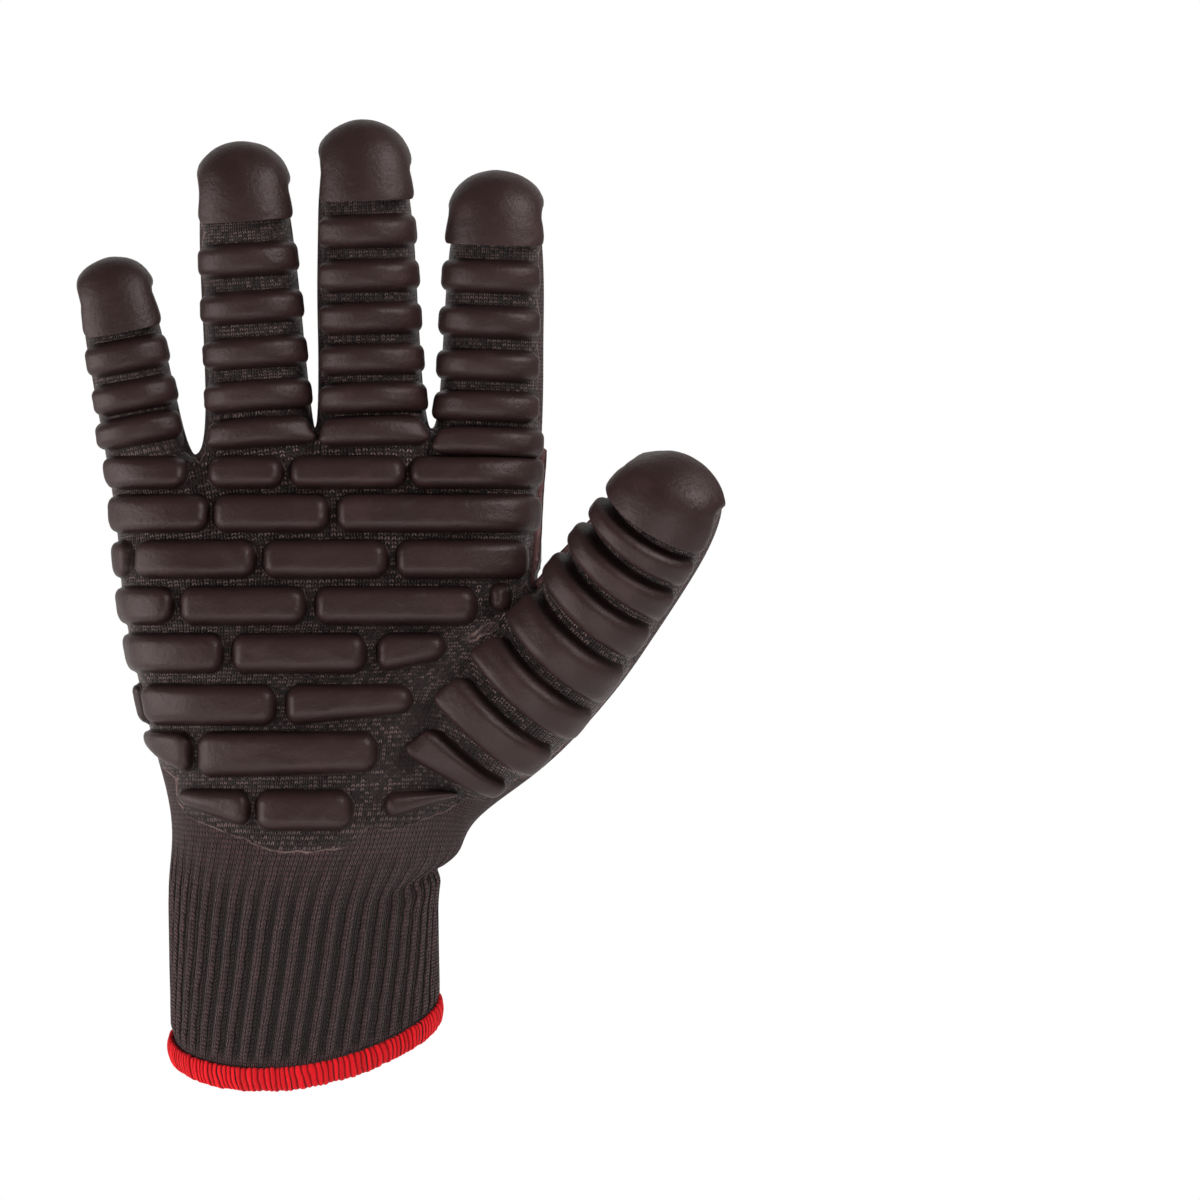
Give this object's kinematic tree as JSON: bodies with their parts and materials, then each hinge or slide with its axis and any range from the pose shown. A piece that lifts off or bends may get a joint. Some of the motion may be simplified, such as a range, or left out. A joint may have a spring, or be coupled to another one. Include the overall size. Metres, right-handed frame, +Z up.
{
  "type": "anti-vibration glove",
  "caption": "Right-hand knitted work glove with a ribbed cuff, an overlocked hem and raised rubber pads over the palm, fingers and thumb.",
  "frame": {"origin": "centre of the wrist opening, level with the middle of the hem", "axes": "+Z up out of the cuff towards the fingers, +X towards the thumb, the palm faces -Y"},
  "size_m": [0.1579, 0.0696, 0.234],
  "materials": {
    "knit": "matt near-black seamless knit",
    "pad_rubber": "matt near-black foam rubber with a soft sheen",
    "hem_yarn": "bright red overlock yarn"
  },
  "bodies": {
    "root": {"crook_sheet": "pad_rubber", "heel_pad": "pad_rubber", "hem": "hem_yarn", "index_bar_1": "pad_rubber", "index_bar_2": "pad_rubber", "index_bar_3": "pad_rubber", "index_bar_4": "pad_rubber", "index_bar_5": "pad_rubber", "index_tip_pad": "pad_rubber", "liner": "knit", "little_bar_1": "pad_rubber", "little_bar_2": "pad_rubber", "little_bar_3": "pad_rubber", "little_tip_pad": "pad_rubber", "middle_bar_1": "pad_rubber", "middle_bar_2": "pad_rubber", "middle_bar_3": "pad_rubber", "middle_bar_4": "pad_rubber", "middle_bar_5": "pad_rubber", "middle_bar_6": "pad_rubber", "middle_tip_pad": "pad_rubber", "palm_row_1_pad_1": "pad_rubber", "palm_row_1_pad_2": "pad_rubber", "palm_row_1_pad_3": "pad_rubber", "palm_row_1_pad_4": "pad_rubber", "palm_row_2_pad_1": "pad_rubber", "palm_row_2_pad_2": "pad_rubber", "palm_row_2_pad_3": "pad_rubber", "palm_row_3_pad_1": "pad_rubber", "palm_row_3_pad_2": "pad_rubber", "palm_row_3_pad_3": "pad_rubber", "palm_row_3_pad_4": "pad_rubber", "palm_row_4_pad_1": "pad_rubber", "palm_row_4_pad_2": "pad_rubber", "palm_row_4_pad_3": "pad_rubber", "palm_row_5_pad_1": "pad_rubber", "palm_row_5_pad_2": "pad_rubber", "palm_row_5_pad_3": "pad_rubber", "palm_row_6_pad_1": "pad_rubber", "palm_row_6_pad_2": "pad_rubber", "palm_row_6_pad_3": "pad_rubber", "palm_row_7_pad_1": "pad_rubber", "palm_row_7_pad_2": "pad_rubber", "palm_row_8_pad_1": "pad_rubber", "palm_row_8_pad_2": "pad_rubber", "ring_bar_1": "pad_rubber", "ring_bar_2": "pad_rubber", "ring_bar_3": "pad_rubber", "ring_bar_4": "pad_rubber", "ring_bar_5": "pad_rubber", "ring_tip_pad": "pad_rubber", "thumb_bar_1": "pad_rubber", "thumb_bar_2": "pad_rubber", "thumb_bar_3": "pad_rubber", "thumb_base_bar_1": "pad_rubber", "thumb_base_bar_2": "pad_rubber", "thumb_base_bar_3": "pad_rubber", "thumb_base_bar_4": "pad_rubber", "thumb_crotch_pad": "pad_rubber", "thumb_tip_pad": "pad_rubber"}
  },
  "joints": []
}
